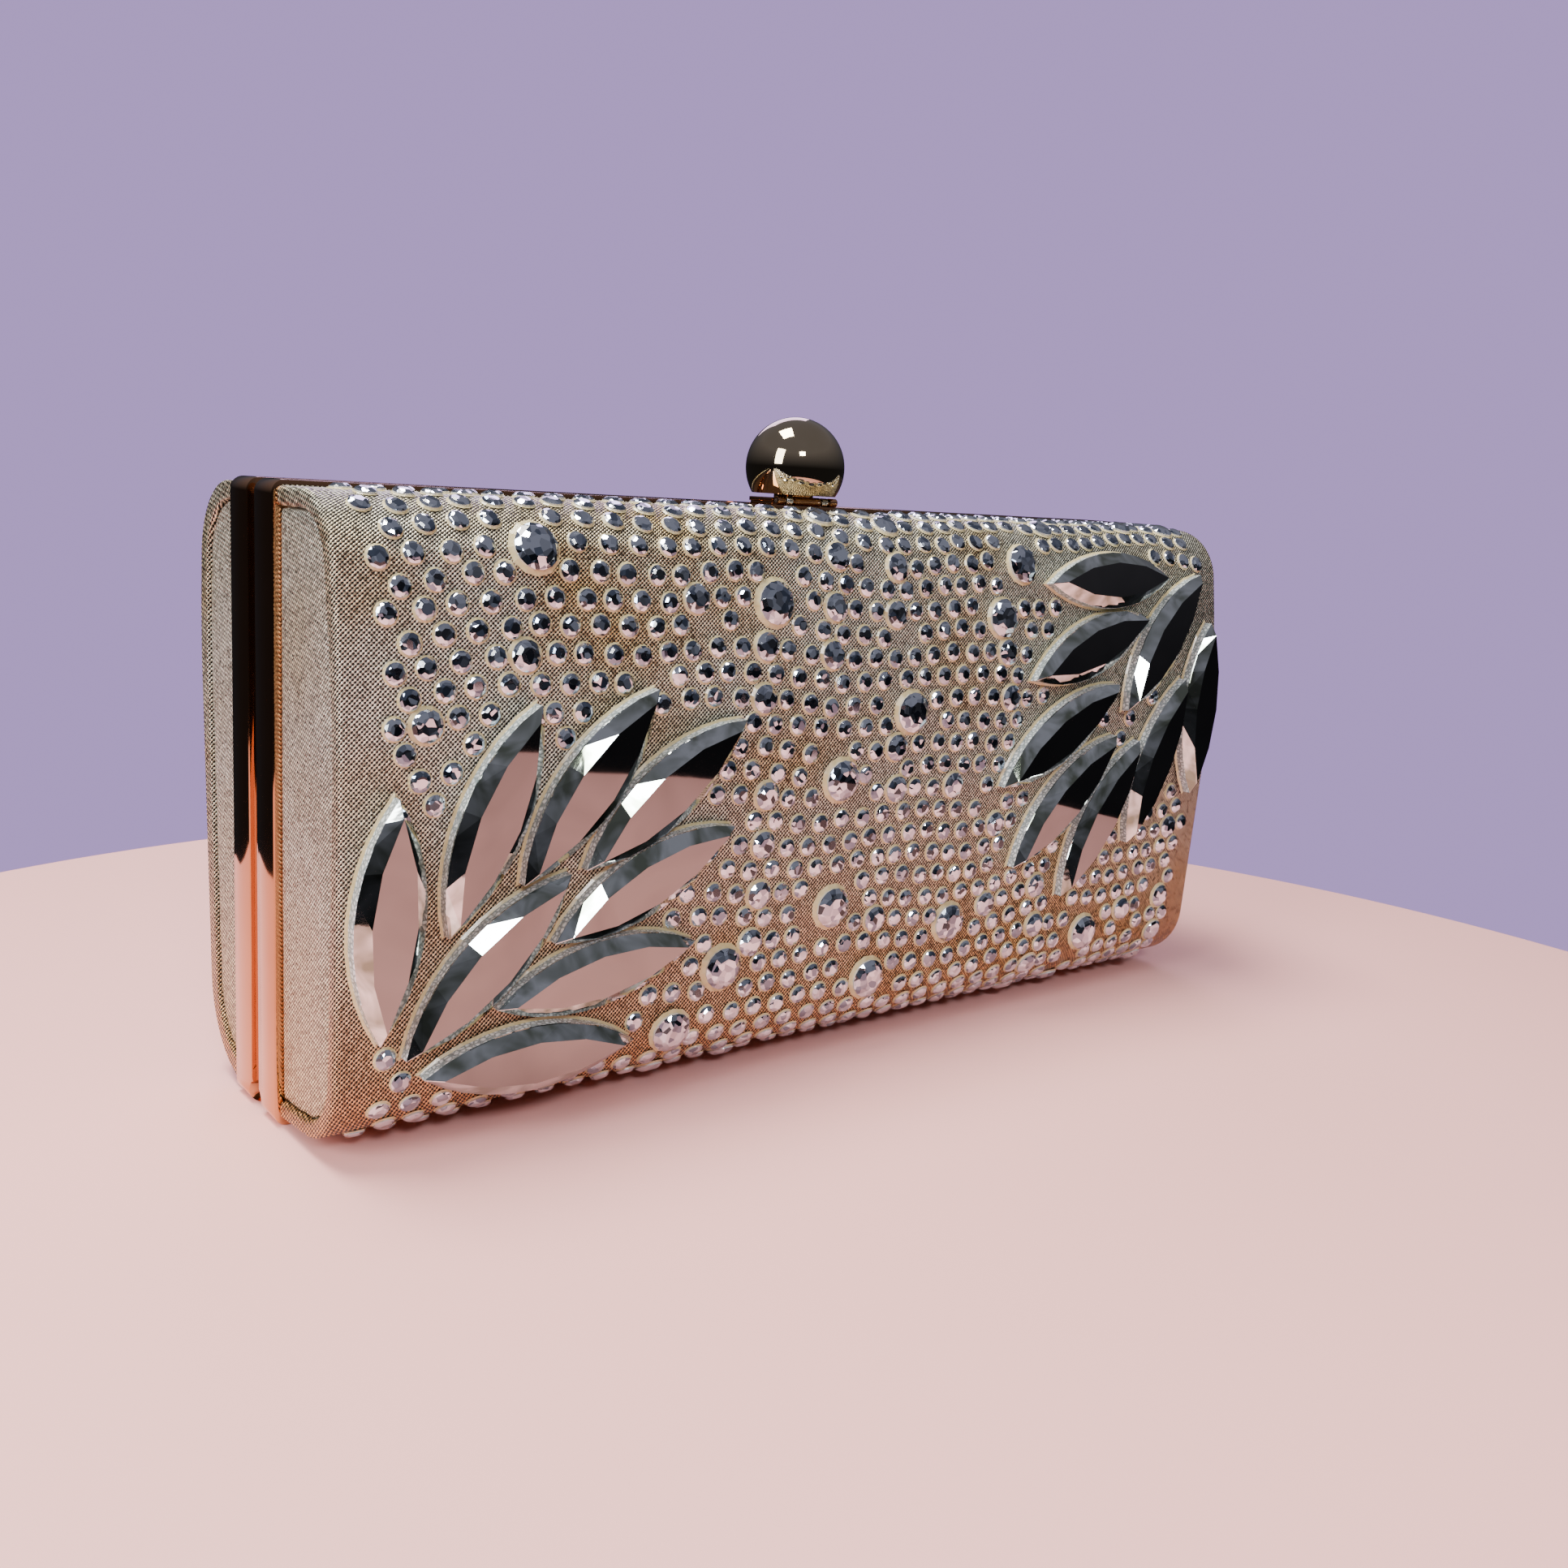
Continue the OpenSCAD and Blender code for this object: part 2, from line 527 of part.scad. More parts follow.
all_cells = [for (r = [0:rows], c = [0:cols]) [r, c]];
medium_list = [for (k = all_cells) let (p = stone_place(k[0], k[1]))
    if (pick[cell(k[0], k[1])] < 0.4 && k[0] > 0 && k[0] % 2 == 0 && k[1] % 3 == 1
        && on_case(p, medium_r) && clear_of_navettes(p, medium_r)
        && clear_of_stones(p, large_list, medium_r + large_r)) p];
bigger = concat(large_list, medium_list);
small_list = [for (k = all_cells) let (p = stone_place(k[0], k[1]))
    if (on_case(p, small_r) && clear_of_navettes(p, small_r)
        && clear_of_stones(p, large_list, small_r + large_r)
        && clear_of_stones(p, medium_list, small_r + medium_r)) p];

module stones(list, r) for (p = list) on_face(p[0], p[1]) brilliant(r);
module large_crystals() color("lightsteelblue") stones(large_list, large_r);
module medium_crystals() color("lightsteelblue") stones(medium_list, medium_r);
module small_crystals() color("lightsteelblue") stones(small_list, small_r);

front_frame();
front_shell();
front_cover();
front_end_panel(-1);  // front_end_panel_left
front_end_panel(1);  // front_end_panel_right
front_lining();
front_hinge_leaf();
front_hinge_rivets();
back_frame();
back_shell();
back_cover();
back_end_panel(-1);  // back_end_panel_left
back_end_panel(1);  // back_end_panel_right
back_lining();
back_hinge_leaf();
back_hinge_rivets();
hinge_pin();
chain_lugs();
catch_plate();
clasp_bracket();
clasp_rivets();
clasp_pin();
clasp_lever();
clasp_spring();
ball_stud();
ball_knob();
lower_navettes();
upper_navettes();
large_crystals();
medium_crystals();
small_crystals();
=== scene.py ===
# %% [markdown]
# # An evening clutch in Blender
# The bag is a hard case in a polished metal frame, covered in metallic twill and set with
# foil-backed crystals. The metalwork comes ready from the CAD model. This lesson softens its
# edges, dresses the case in cloth, pads the end panels and cuts every crystal.
#
# The CAD model is loaded first, because every piece takes its place from it.

# %% Load the CAD model
import math
import random

import bpy
import numpy as np
from mathutils import Matrix, Vector


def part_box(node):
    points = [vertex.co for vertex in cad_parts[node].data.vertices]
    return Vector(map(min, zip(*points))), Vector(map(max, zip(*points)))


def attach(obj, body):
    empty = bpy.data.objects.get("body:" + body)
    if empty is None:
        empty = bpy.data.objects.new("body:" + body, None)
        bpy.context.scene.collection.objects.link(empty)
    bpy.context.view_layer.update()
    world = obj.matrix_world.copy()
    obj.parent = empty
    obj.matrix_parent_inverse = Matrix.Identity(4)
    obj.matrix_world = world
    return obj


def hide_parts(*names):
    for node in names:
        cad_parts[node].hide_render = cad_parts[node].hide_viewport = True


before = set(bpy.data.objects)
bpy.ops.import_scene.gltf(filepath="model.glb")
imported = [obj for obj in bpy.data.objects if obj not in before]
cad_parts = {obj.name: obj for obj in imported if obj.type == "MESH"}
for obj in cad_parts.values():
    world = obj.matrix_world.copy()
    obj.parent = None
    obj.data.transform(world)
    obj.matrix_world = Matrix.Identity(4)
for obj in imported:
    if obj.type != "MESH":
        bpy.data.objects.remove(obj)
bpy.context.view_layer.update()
MM = 0.001
pin_low, pin_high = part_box("hinge_pin")
seam_y = (pin_low.y + pin_high.y) / 2
print("the halves part at y =", round(seam_y / MM, 2), "mm")

# %% [markdown]
# ## Small helpers
# Operators act on whatever is selected, and the CAD pieces arrive selected, so each step first
# clears the selection and then names its one object.

# %% Selecting
def only(obj):
    """Leaves obj as the one selected, active object."""
    bpy.ops.object.select_all(action="DESELECT")
    obj.select_set(True)
    bpy.context.view_layer.objects.active = obj
    return obj


def edit_pick(obj, kind, wanted):
    """Opens obj in edit mode with the faces, edges or vertices that wanted() accepts."""
    only(obj)
    bpy.ops.object.mode_set(mode="EDIT")
    bpy.ops.mesh.select_mode(type=kind)
    bpy.ops.mesh.select_all(action="DESELECT")
    bpy.ops.object.mode_set(mode="OBJECT")
    items = {"FACE": obj.data.polygons, "EDGE": obj.data.edges, "VERT": obj.data.vertices}[kind]
    for item in items:
        item.select = bool(wanted(item))
    bpy.ops.object.mode_set(mode="EDIT")


def object_mode():
    bpy.ops.object.mode_set(mode="OBJECT")


def settle(obj):
    """Puts the object's place, turn and size into its mesh."""
    only(obj)
    bpy.ops.object.transform_apply(location=True, rotation=True, scale=True)
    return obj


def apply_modifier(obj, kind, **settings):
    only(obj)
    bpy.ops.object.modifier_add(type=kind)
    m = obj.modifiers[-1]
    for name, value in settings.items():
        setattr(m, name, value)
    bpy.ops.object.modifier_apply(modifier=m.name)


def joined(parts):
    """Joins objects into the first of them."""
    bpy.ops.object.select_all(action="DESELECT")
    for part in parts:
        part.select_set(True)
    bpy.context.view_layer.objects.active = parts[0]
    bpy.ops.object.join()
    return bpy.context.object


def merge_points(obj, distance):
    edit_pick(obj, "VERT", lambda v: True)
    bpy.ops.mesh.remove_doubles(threshold=distance)
    object_mode()


def face_outward(obj):
    edit_pick(obj, "FACE", lambda f: True)
    bpy.ops.mesh.normals_make_consistent(inside=False)
    object_mode()


# %% Taking a copy of a CAD piece
def copy_of(node, name):
    """A merged copy of a CAD piece, with its flat faces whole again, to shape further."""
    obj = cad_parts[node].copy()
    obj.data = obj.data.copy()
    obj.name = name
    obj.data.name = name
    bpy.context.scene.collection.objects.link(obj)
    obj.parent = None
    obj.matrix_world = Matrix.Identity(4)
    for key in list(obj.keys()):
        if key.startswith("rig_"):
            del obj[key]
    obj.data.materials.clear()
    only(obj)
    bpy.ops.object.mode_set(mode="EDIT")
    bpy.ops.mesh.select_all(action="SELECT")
    bpy.ops.mesh.remove_doubles(threshold=0.003 * MM)
    bpy.ops.mesh.customdata_custom_splitnormals_clear()
    bpy.ops.mesh.dissolve_limited(angle_limit=math.radians(1))
    object_mode()
    return obj


def softened(node, name, width, segments=2, angle=32):
    """A copy of a CAD piece with its sharp edges rounded."""
    obj = copy_of(node, name)
    apply_modifier(obj, "BEVEL", width=width, segments=segments, limit_method="ANGLE",
                   angle_limit=math.radians(angle), harden_normals=False,
                   use_clamp_overlap=True)
    only(obj)
    bpy.ops.object.shade_smooth_by_angle(angle=math.radians(28))
    return obj


# %% [markdown]
# ## Camera, floor and light
# A wide lens stands close to the bag's front left corner, a little above it and slightly
# tilted. The floor is a small round pale table top. What lies beyond its edge is a dim room, and
# the polished frame and glass mirror both: pale near the table, dark above it. The light is a
# soft studio: a large overhead panel, a strip on the left, a window in front, a faint violet
# fill behind and one wide even light that the mirrors don't show.

# %% Camera
def place_camera(spot, heading, dip, roll, lens):
    """heading is measured from +Y towards +X, dip below the horizon, roll clockwise."""
    heading, dip, roll = (math.radians(a) for a in (heading, dip, roll))
    ahead = Vector((math.sin(heading) * math.cos(dip), math.cos(heading) * math.cos(dip),
                    -math.sin(dip)))
    right = Vector((math.cos(heading), -math.sin(heading), 0))
    up = right.cross(ahead)
    right_rolled = math.cos(roll) * right + math.sin(roll) * up
    up_rolled = math.cos(roll) * up - math.sin(roll) * right
    camera = bpy.data.objects.new("camera", bpy.data.cameras.new("camera"))
    camera.data.sensor_width = 36
    camera.data.lens = lens
    camera.data.clip_start = 0.01
    turn = Matrix((right_rolled, up_rolled, -ahead)).transposed()
    camera.matrix_world = Matrix.Translation(spot) @ turn.to_4x4()
    bpy.context.scene.collection.objects.link(camera)
    bpy.context.scene.camera = camera
    return camera


camera_spot = Vector((-0.17612, seam_y - 0.21940, 0.10034))
camera = place_camera(camera_spot, heading=39.55, dip=11.24, roll=3.55, lens=34.353)
print("camera", tuple(round(v, 3) for v in camera.location))


# %% Floor
def node_tree(material):
    material.use_nodes = True
    tree = material.node_tree
    tree.nodes.clear()
    return tree


bpy.ops.object.select_all(action="DESELECT")
table_radius, table_thick = 0.228, 0.018
table_x, table_y = -0.023, -0.046
foot_gap = 0.0001                        # the table top lies just under the bag's foot
bpy.ops.mesh.primitive_cylinder_add(vertices=160, radius=table_radius, depth=table_thick,
                                    location=(table_x, table_y, -table_thick / 2 - foot_gap))
floor = settle(bpy.context.object)
floor.name = "floor"
apply_modifier(floor, "BEVEL", width=0.004, segments=4, limit_method="ANGLE",
               angle_limit=math.radians(40))
only(floor)
bpy.ops.object.shade_smooth_by_angle(angle=math.radians(30))
floor_paint = bpy.data.materials.new("pale_table")
tree = node_tree(floor_paint)
out = tree.nodes.new("ShaderNodeOutputMaterial")
paint = tree.nodes.new("ShaderNodeBsdfPrincipled")
paint.inputs["Base Color"].default_value = (0.97, 0.50, 0.46, 1)
paint.inputs["Roughness"].default_value = 0.42
paint.inputs["Specular IOR Level"].default_value = 0.35
tree.links.new(paint.outputs["BSDF"], out.inputs["Surface"])
floor.data.materials.append(floor_paint)
print("floor", tuple(floor.dimensions))


# %% Lights
def softbox(name, spot, aim, size, power, colour):
    light = bpy.data.lights.new(name, "AREA")
    light.shape = "RECTANGLE"
    light.size, light.size_y = size
    light.energy = power
    light.color = colour
    obj = bpy.data.objects.new(name, light)
    obj.location = spot
    obj.rotation_euler = (Vector(aim) - Vector(spot)).to_track_quat("-Z", "Y").to_euler()
    bpy.context.scene.collection.objects.link(obj)
    return obj


middle = (0, 0, 0.05)
softbox("overhead", (-0.22, 0.14, 0.95), middle, (0.42, 0.30), 15.0, (1, 0.96, 0.90))
softbox("left_strip", (-0.95, -0.18, 0.50), middle, (0.34, 0.60), 10.0, (0.96, 0.99, 1))
softbox("front_window", (-0.45, -1.1, 0.85), middle, (0.30, 0.22), 9.0, (0.93, 0.96, 1))
softbox("back_fill", (0.5, 0.9, 0.7), middle, (0.6, 0.5), 4.0, (0.80, 0.62, 1))
sky = bpy.data.lights.new("even_light", "SUN")
sky.energy = 0.8
sky.angle = math.radians(70)
sky.color = (1, 0.96, 0.93)
sky_obj = bpy.data.objects.new("even_light", sky)
sky_obj.rotation_euler = (math.radians(12), math.radians(-22), 0)
sky_obj.visible_glossy = False
bpy.context.scene.collection.objects.link(sky_obj)

# %% Room
# What the frame and the glass mirror is dark at the table's height and paler higher up. The
# camera itself sees an even lavender wall.
world = bpy.data.worlds.new("studio")
bpy.context.scene.world = world
world.use_nodes = True
wt = world.node_tree
wt.nodes.clear()
wo = wt.nodes.new("ShaderNodeOutputWorld")
way = wt.nodes.new("ShaderNodeTexCoord")
way_xyz = wt.nodes.new("ShaderNodeSeparateXYZ")
wt.links.new(way.outputs["Generated"], way_xyz.inputs[0])
climb = wt.nodes.new("ShaderNodeMapRange")
climb.inputs[1].default_value, climb.inputs[2].default_value = 0.02, 0.55
climb.inputs[3].default_value, climb.inputs[4].default_value = 0.03, 0.36
wt.links.new(way_xyz.outputs[2], climb.inputs[0])
room = wt.nodes.new("ShaderNodeBackground")
room.inputs["Color"].default_value = (0.56, 0.56, 0.68, 1)
wt.links.new(climb.outputs[0], room.inputs["Strength"])
seen = wt.nodes.new("ShaderNodeBackground")
seen.inputs["Color"].default_value = (0.64, 0.43, 0.95, 1)
seen.inputs["Strength"].default_value = 0.8
ray = wt.nodes.new("ShaderNodeLightPath")
mix = wt.nodes.new("ShaderNodeMixShader")
wt.links.new(ray.outputs["Is Camera Ray"], mix.inputs["Fac"])
wt.links.new(room.outputs["Background"], mix.inputs[1])
wt.links.new(seen.outputs["Background"], mix.inputs[2])
wt.links.new(mix.outputs["Shader"], wo.inputs["Surface"])
print("room", world.name)

# %% [markdown]
# ## Finishes
# Each finish is built from small pattern groups: a twill weave, fine marks for worn metal, and
# glints for cut glass. A group only works out masks, heights and normals; the shader that uses
# them stays in the material, where it can be exported.

# %% Node helpers
def node(tree, kind, **settings):
    """Adds a shader node; settings are its properties, or its inputs when given as in_<number>."""
    n = tree.nodes.new("ShaderNode" + kind)
    for key, value in settings.items():
        if key.startswith("in_"):
            socket = n.inputs[int(key[3:])]
            if isinstance(value, bpy.types.NodeSocket):
                tree.links.new(value, socket)
            else:
                socket.default_value = value
        else:
            setattr(n, key, value)
    return n


def math_node(tree, operation, a, b=0.0, clamp=False):
    return node(tree, "Math", operation=operation, use_clamp=clamp, in_0=a, in_1=b).outputs[0]


def remap(tree, value, low, high, to_low=0.0, to_high=1.0):
    return node(tree, "MapRange", in_0=value, in_1=low, in_2=high, in_3=to_low,
                in_4=to_high).outputs[0]


def blend_colours(tree, mask, a, b):
    n = node(tree, "Mix", data_type="RGBA", in_0=mask)
    for socket, value in ((n.inputs[6], a), (n.inputs[7], b)):
        if isinstance(value, bpy.types.NodeSocket):
            tree.links.new(value, socket)
        else:
            socket.default_value = (*value, 1)
    return n.outputs[2]


def new_group(name, inputs, outputs):
    """A shader node group with its named sockets, and its two end nodes."""
    tree = bpy.data.node_groups.new(name, "ShaderNodeTree")
    for title, kind, value in inputs:
        s = tree.interface.new_socket(name=title, in_out="INPUT", socket_type="NodeSocket" + kind)
        if value is not None:
            s.default_value = value
    for title, kind in outputs:
        tree.interface.new_socket(name=title, in_out="OUTPUT", socket_type="NodeSocket" + kind)
    return tree, tree.nodes.new("NodeGroupInput"), tree.nodes.new("NodeGroupOutput")


def use_group(tree, group, **values):
    n = tree.nodes.new("ShaderNodeGroup")
    n.node_tree = group
    for key, value in values.items():
        socket = n.inputs[key.replace("_", " ")]
        if isinstance(value, bpy.types.NodeSocket):
            tree.links.new(value, socket)
        else:
            socket.default_value = value
    return n


# %% Twill weave group
# Slanting ribs run up to the right over face, top and ends alike, because they are cut by one
# family of planes through the whole bag.
twill, gin, gout = new_group(
    "twill weave",
    [("Vector", "Vector", None), ("Rib", "Float", 0.0005), ("Thread", "Float", 0.0004)],
    [("Gap", "Float"), ("Height", "Float"), ("Tone and Sparkle", "Float")])
xyz = node(twill, "SeparateXYZ", in_0=gin.outputs["Vector"])
across = math_node(twill, "SUBTRACT", math_node(twill, "SUBTRACT", xyz.outputs[0], xyz.outputs[2]),
                   xyz.outputs[1])
along = math_node(twill, "ADD", math_node(twill, "ADD", xyz.outputs[0], xyz.outputs[2]),
                  math_node(twill, "MULTIPLY", xyz.outputs[1], -0.2))
drift = node(twill, "TexNoise", in_0=gin.outputs["Vector"], in_2=260.0, in_3=2.0)
wavy = math_node(twill, "MULTIPLY", drift.outputs[0], 0.00016)
across = math_node(twill, "ADD", across, wavy)
wave_turn = 2 * math.pi / 1.45           # one wave takes up 1.45 ribs or threads
rib_count = math_node(twill, "DIVIDE", across, gin.outputs["Rib"])
thread_count = math_node(twill, "DIVIDE", along, gin.outputs["Thread"])
rib_wave = math_node(twill, "SINE", math_node(twill, "MULTIPLY", rib_count, wave_turn))
thread_wave = math_node(twill, "SINE", math_node(twill, "MULTIPLY", thread_count, wave_turn))
stepped = math_node(twill, "ADD", rib_wave, math_node(twill, "MULTIPLY", thread_wave, 0.75))
cells = node(twill, "TexWhiteNoise", noise_dimensions="2D")
snap = node(twill, "CombineXYZ",
            in_0=math_node(twill, "ROUND", rib_count),
            in_1=math_node(twill, "ROUND", thread_count))
twill.links.new(snap.outputs[0], cells.inputs[0])
# This mask marks the hollows between the ribs, where the cloth paints shade.
twill.links.new(remap(twill, stepped, -0.35, 0.30), gout.inputs["Gap"])
twill.links.new(math_node(twill, "MULTIPLY", stepped, -0.5), gout.inputs["Height"])
# This value is random per thread: partly each thread's own tone, partly painted sparkle.
twill.links.new(cells.outputs[0], gout.inputs["Tone and Sparkle"])

# %% Fine marks group
marks, gin, gout = new_group(
    "fine marks",
    [("Vector", "Vector", None), ("Size", "Float", 900.0)],
    [("Haze", "Float"), ("Height", "Float")])
haze = node(marks, "TexNoise", in_0=gin.outputs["Vector"], in_2=55.0, in_3=4.0, in_4=0.6)
stretched = node(marks, "VectorMath", operation="MULTIPLY", in_0=gin.outputs["Vector"],
                 in_1=(1.0, 1.0, 0.12))
scratches = node(marks, "TexNoise", in_0=stretched.outputs[0], in_2=gin.outputs["Size"], in_3=2.0)
marks.links.new(remap(marks, haze.outputs[0], 0.35, 0.75), gout.inputs["Haze"])
marks.links.new(scratches.outputs[0], gout.inputs["Height"])

# %% Glints group
# Behind the cut top of a foil-backed crystal many small facets send light back at their own
# angles. Random cells that each tip the normal a little give the same broken flashes.
glints, gin, gout = new_group(
    "glints",
    [("Vector", "Vector", None), ("Scale", "Float", 1100.0), ("Tip", "Float", 0.5)],
    [("Normal", "Vector"), ("Light", "Float")])
cell = node(glints, "TexVoronoi", in_0=gin.outputs["Vector"], in_2=gin.outputs["Scale"])
lean = node(glints, "VectorMath", operation="SUBTRACT", in_0=cell.outputs["Color"],
            in_1=(0.5, 0.5, 0.5))
lean = node(glints, "VectorMath", operation="SCALE", in_0=lean.outputs[0],
            in_3=gin.outputs["Tip"])
facing = node(glints, "NewGeometry")
leaned = node(glints, "VectorMath", operation="ADD", in_0=facing.outputs["Normal"],
              in_1=lean.outputs[0])
leaned = node(glints, "VectorMath", operation="NORMALIZE", in_0=leaned.outputs[0])
split = node(glints, "SeparateColor", in_0=cell.outputs["Color"])
glints.links.new(leaned.outputs[0], gout.inputs["Normal"])
# The second value is random per cell; the round crystals use it as a painted flash in their
# colour.
glints.links.new(split.outputs[1], gout.inputs["Light"])
print("groups", [g.name for g in (twill, marks, glints)])


# %% Shader helper
def new_finish(name, **sockets):
    """A material with one Principled BSDF; returns the material, its tree and the shader."""
    material = bpy.data.materials.new(name)
    tree = node_tree(material)
    out = tree.nodes.new("ShaderNodeOutputMaterial")
    shader = tree.nodes.new("ShaderNodeBsdfPrincipled")
    tree.links.new(shader.outputs[0], out.inputs[0])
    for key, value in sockets.items():
        shader.inputs[key.replace("_", " ")].default_value = value
    return material, tree, shader


def bump(tree, shader, height, distance, strength=1.0):
    n = node(tree, "Bump")
    n.inputs["Strength"].default_value = strength
    n.inputs["Distance"].default_value = distance
    tree.links.new(height, n.inputs["Height"])
    tree.links.new(n.outputs[0], shader.inputs["Normal"])
    return n


def object_place(tree):
    return node(tree, "TexCoord").outputs["Object"]


# %% [markdown]
# ### Metals
# The frame is stamped metal with a polished rose gold plating that mirrors the room. A metal
# shader that is the same all over looks false, so a slow noise makes some parts a shade duller,
# and fine stretched scratches break up the reflections.

# %% Metals
def metal(name, colour, dull, rough_low, rough_high, scratch=0.00001):
    """A worn metal: the haze is a shade duller and rougher than the clean parts."""
    material, tree, shader = new_finish(name, Metallic=1.0)
    m = use_group(tree, marks, Vector=object_place(tree))
    tree.links.new(blend_colours(tree, m.outputs["Haze"], colour, dull),
                   shader.inputs["Base Color"])
    tree.links.new(remap(tree, m.outputs["Haze"], 0, 1, rough_low, rough_high),
                   shader.inputs["Roughness"])
    bump(tree, shader, m.outputs["Height"], scratch, 0.5)
    return material


polished_gold = metal("polished_gold", (0.59, 0.31, 0.16), (0.52, 0.26, 0.13), 0.03, 0.09,
                      0.000004)
ball_gold = metal("ball_gold", (0.52, 0.43, 0.29), (0.45, 0.35, 0.22), 0.02, 0.06, 0.000002)
soft_brass = metal("soft_brass", (0.78, 0.60, 0.32), (0.55, 0.40, 0.20), 0.22, 0.42)
bright_steel = metal("bright_steel", (0.62, 0.61, 0.60), (0.45, 0.44, 0.43), 0.15, 0.32)
print("metals", [m.name for m in (polished_gold, ball_gold, soft_brass, bright_steel)])


# %% [markdown]
# ### Cloths
# The case wears a twill with metallic thread, painted warmer and browner towards the foot as
# painted shade. A picture of cloth laid over it would stretch at the corners. Here the ribs are
# worked out from each point's own place, so that they run on from face to top, and painted shade
# darkens the gaps between them.

# %% Cloths
def metallic_twill(name, bright, deep, foot_shade_colour, gap_shade_colour, rib, thread, metallic, rough, gap_shade_strength,
                   singe=0.0):
    """Metallic twill: ribs, painted shade in gaps and at the foot, and patches of deeper gold."""
    material, tree, shader = new_finish(name, Metallic=metallic, Roughness=rough)
    place = object_place(tree)
    w = use_group(tree, twill, Vector=place, Rib=rib, Thread=thread)
    patch = node(tree, "TexNoise", in_0=place, in_2=34.0, in_3=3.0, in_4=0.55)
    tint = blend_colours(tree, remap(tree, patch.outputs[0], 0.46, 0.72), bright, deep)
    # Painted shade: lower down, the cloth is drawn warmer and darker, as if less light reached it.
    climb_z = node(tree, "SeparateXYZ", in_0=place).outputs[2]
    uneven = math_node(tree, "ADD", climb_z, math_node(tree, "MULTIPLY", patch.outputs[0], 0.030))
    foot_shade_mask = remap(tree, uneven, 0.064, 0.020, 0.0, 0.8)
    tint = blend_colours(tree, foot_shade_mask, tint, foot_shade_colour)
    dust = node(tree, "TexNoise", in_0=place, in_2=1300.0, in_3=1.0)
    singed = math_node(tree, "MULTIPLY", remap(tree, dust.outputs[0], 0.56, 0.62),
                       remap(tree, patch.outputs[0], 0.50, 0.62))
    tint = blend_colours(tree, math_node(tree, "MULTIPLY", singed, singe), tint,
                         (0.10, 0.045, 0.02))
    # Each thread is drawn lighter or darker: partly its own tone, partly painted sparkle of the
    # metal.
    tone_and_sparkle = remap(tree, w.outputs["Tone and Sparkle"], 0.0, 1.0, 0.42, 1.26)
    lit = node(tree, "VectorMath", operation="SCALE", in_0=tint, in_3=tone_and_sparkle).outputs[0]
    # Painted shade: the hollows between the ribs are drawn near black.
    painted_dark = math_node(tree, "MULTIPLY", w.outputs["Gap"], gap_shade_strength)
    tree.links.new(blend_colours(tree, painted_dark, lit, gap_shade_colour), shader.inputs["Base Color"])
    tree.links.new(remap(tree, w.outputs["Tone and Sparkle"], 0, 1, rough - 0.10, rough + 0.14),
                   shader.inputs["Roughness"])
    bump(tree, shader, w.outputs["Height"], 0.00010, 0.9)
    return material


case_cloth = metallic_twill(
    "case_cloth", bright=(0.95, 0.92, 0.74), deep=(0.86, 0.62, 0.26), foot_shade_colour=(0.80, 0.37, 0.08),
    gap_shade_colour=(0.012, 0.008, 0.005), rib=0.00050, thread=0.00050, metallic=0.70, rough=0.34,
    gap_shade_strength=1.0, singe=0.75)
panel_cloth = metallic_twill(
    "panel_cloth", bright=(0.96, 0.95, 0.82), deep=(0.86, 0.80, 0.60), foot_shade_colour=(0.94, 0.74, 0.40),
    gap_shade_colour=(0.040, 0.030, 0.020), rib=0.00046, thread=0.00046, metallic=0.60, rough=0.36,
    gap_shade_strength=0.9)

satin, tree, shader = new_finish("case_satin", Metallic=0.0, Sheen_Weight=0.5,
                                 Sheen_Roughness=0.35)
place = object_place(tree)
folds_and_shade = node(tree, "TexNoise", in_0=place, in_2=70.0, in_3=3.0)
rows = node(tree, "TexWave", in_0=place, in_1=2400.0, in_2=0.6)
# Painted shade: the satin is drawn darker where its folds sink, from the noise that raises them.
tree.links.new(blend_colours(tree, folds_and_shade.outputs[0], (0.42, 0.27, 0.12), (0.56, 0.38, 0.18)),
               shader.inputs["Base Color"])
tree.links.new(remap(tree, folds_and_shade.outputs[0], 0.3, 0.7, 0.26, 0.42), shader.inputs["Roughness"])
crease = math_node(tree, "ADD", math_node(tree, "MULTIPLY", folds_and_shade.outputs[0], 3.0),
                   math_node(tree, "MULTIPLY", rows.outputs[1], 0.12))
bump(tree, shader, crease, 0.00025, 0.6)

board, tree, shader = new_finish("case_board", Roughness=0.85)
fibres = node(tree, "TexNoise", in_0=object_place(tree), in_2=1500.0, in_3=4.0)
tree.links.new(blend_colours(tree, fibres.outputs[0], (0.28, 0.21, 0.14), (0.42, 0.34, 0.25)),
               shader.inputs["Base Color"])
bump(tree, shader, fibres.outputs[0], 0.00008, 0.6)
print("cloths", case_cloth.name, panel_cloth.name, satin.name, board.name)

# %% [markdown]
# ### Glass
# The crystals are solid glass with mirror foil behind. Light that really bends through hundreds
# of tiny stones takes long to work out, so the foil's flashes lie on the surface instead: tilted
# mirror cells with painted bright and dark flashes under a clear coat for the round stones, and
# slow streaks of painted reflection for the long ones.

# %% Glass
def foiled(name, colour, painted_dark, tip, scale, low, high, rough=0.04):
    """Foil-backed glass: tilted mirror cells with painted flashes under a clear polished top."""
    material, tree, shader = new_finish(name, Metallic=1.0, Roughness=rough, Coat_Weight=1.0,
                                        Coat_Roughness=0.02, Coat_IOR=1.6)
    g = use_group(tree, glints, Vector=object_place(tree), Scale=scale, Tip=tip)
    # Painted reflection: each cell is drawn bright or dark, like a facet that does or doesn't
    # catch light.
    painted_flash = remap(tree, g.outputs["Light"], low, high)
    tree.links.new(blend_colours(tree, painted_flash, painted_dark, colour), shader.inputs["Base Color"])
    tree.links.new(g.outputs["Normal"], shader.inputs["Normal"])
    return material


